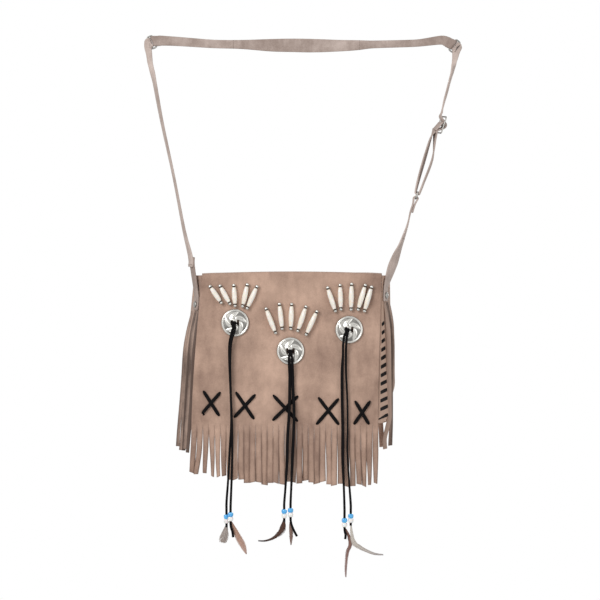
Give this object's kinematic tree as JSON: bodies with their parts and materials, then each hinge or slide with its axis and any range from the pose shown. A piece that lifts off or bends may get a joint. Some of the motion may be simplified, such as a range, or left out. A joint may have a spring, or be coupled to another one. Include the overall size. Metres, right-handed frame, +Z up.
{
  "type": "leather handbag",
  "caption": "Fringed suede shoulder bag with a fold-over flap, concho and bone trim, beaded laces with feathers, and an adjustable strap.",
  "frame": {"origin": "under the middle of the shoulder strap, where the bag hangs", "axes": "+Z up, front of the flap towards -Y, +X to the right seen from the front"},
  "size_m": [0.4423, 0.0622, 0.7601],
  "materials": {
    "bag_suede": "napped suede",
    "strap_suede": "napped suede",
    "black_lace": "soft black lace",
    "nickel_silver": "polished with dark recesses",
    "bone": "polished bone",
    "pony_beads": "gloss",
    "feather": "barbs on a shaft"
  },
  "bodies": {
    "bag": {"gusset": "bag_suede", "front_panel": "bag_suede", "back_panel": "bag_suede", "left_side_lacing": "black_lace", "right_side_lacing": "black_lace", "left_side_fringe": "bag_suede", "right_side_fringe": "bag_suede", "shoulder_strap": "strap_suede", "left_ring": "nickel_silver", "left_strap": "strap_suede", "left_tab": "strap_suede", "left_tab_rivet": "nickel_silver", "right_ring": "nickel_silver", "right_strap": "strap_suede", "lower_ring": "nickel_silver", "right_tab": "strap_suede", "right_tab_rivet": "nickel_silver"},
    "flap": {"flap": "bag_suede", "cross_lacing": "black_lace", "left_concho": "nickel_silver", "middle_concho": "nickel_silver", "right_concho": "nickel_silver", "left_lace_knot": "black_lace", "middle_lace_knot": "black_lace", "right_lace_knot": "black_lace", "left_hairpipe_1": "bone", "left_hairpipe_2": "bone", "left_hairpipe_3": "bone", "left_hairpipe_4": "bone", "left_hairpipe_5": "bone", "middle_hairpipe_1": "bone", "middle_hairpipe_2": "bone", "middle_hairpipe_3": "bone", "middle_hairpipe_4": "bone", "middle_hairpipe_5": "bone", "right_hairpipe_1": "bone", "right_hairpipe_2": "bone", "right_hairpipe_3": "bone", "right_hairpipe_4": "bone", "right_hairpipe_5": "bone", "left_lace_a": "black_lace", "left_lace_b": "black_lace", "middle_lace_a": "black_lace", "middle_lace_b": "black_lace", "right_lace_a": "black_lace", "right_lace_b": "black_lace", "left_lace_a_beads": "pony_beads", "left_lace_b_beads": "pony_beads", "middle_lace_a_beads": "pony_beads", "middle_lace_b_beads": "pony_beads", "right_lace_a_beads": "pony_beads", "right_lace_b_beads": "pony_beads", "grey_feather": "feather", "brown_feather": "feather", "dark_feather": "feather", "narrow_feather": "feather", "pale_feather": "feather", "long_quill": "feather"},
    "slide": {"slide_buckle": "nickel_silver"}
  },
  "joints": [
    {"name": "flap_hinge", "type": "hinge", "parent": "bag", "child": "flap", "pos_m": [0, 0.0139, -0.3135], "axis": [-1, 0, 0], "range_deg": [0, 150]},
    {"name": "strap_slide", "type": "slide", "parent": "bag", "child": "slide", "axis": [-0.3084, 0, -0.9513], "range_m": [-0.02, 0.06], "deforming": ["right_strap"]}
  ]
}
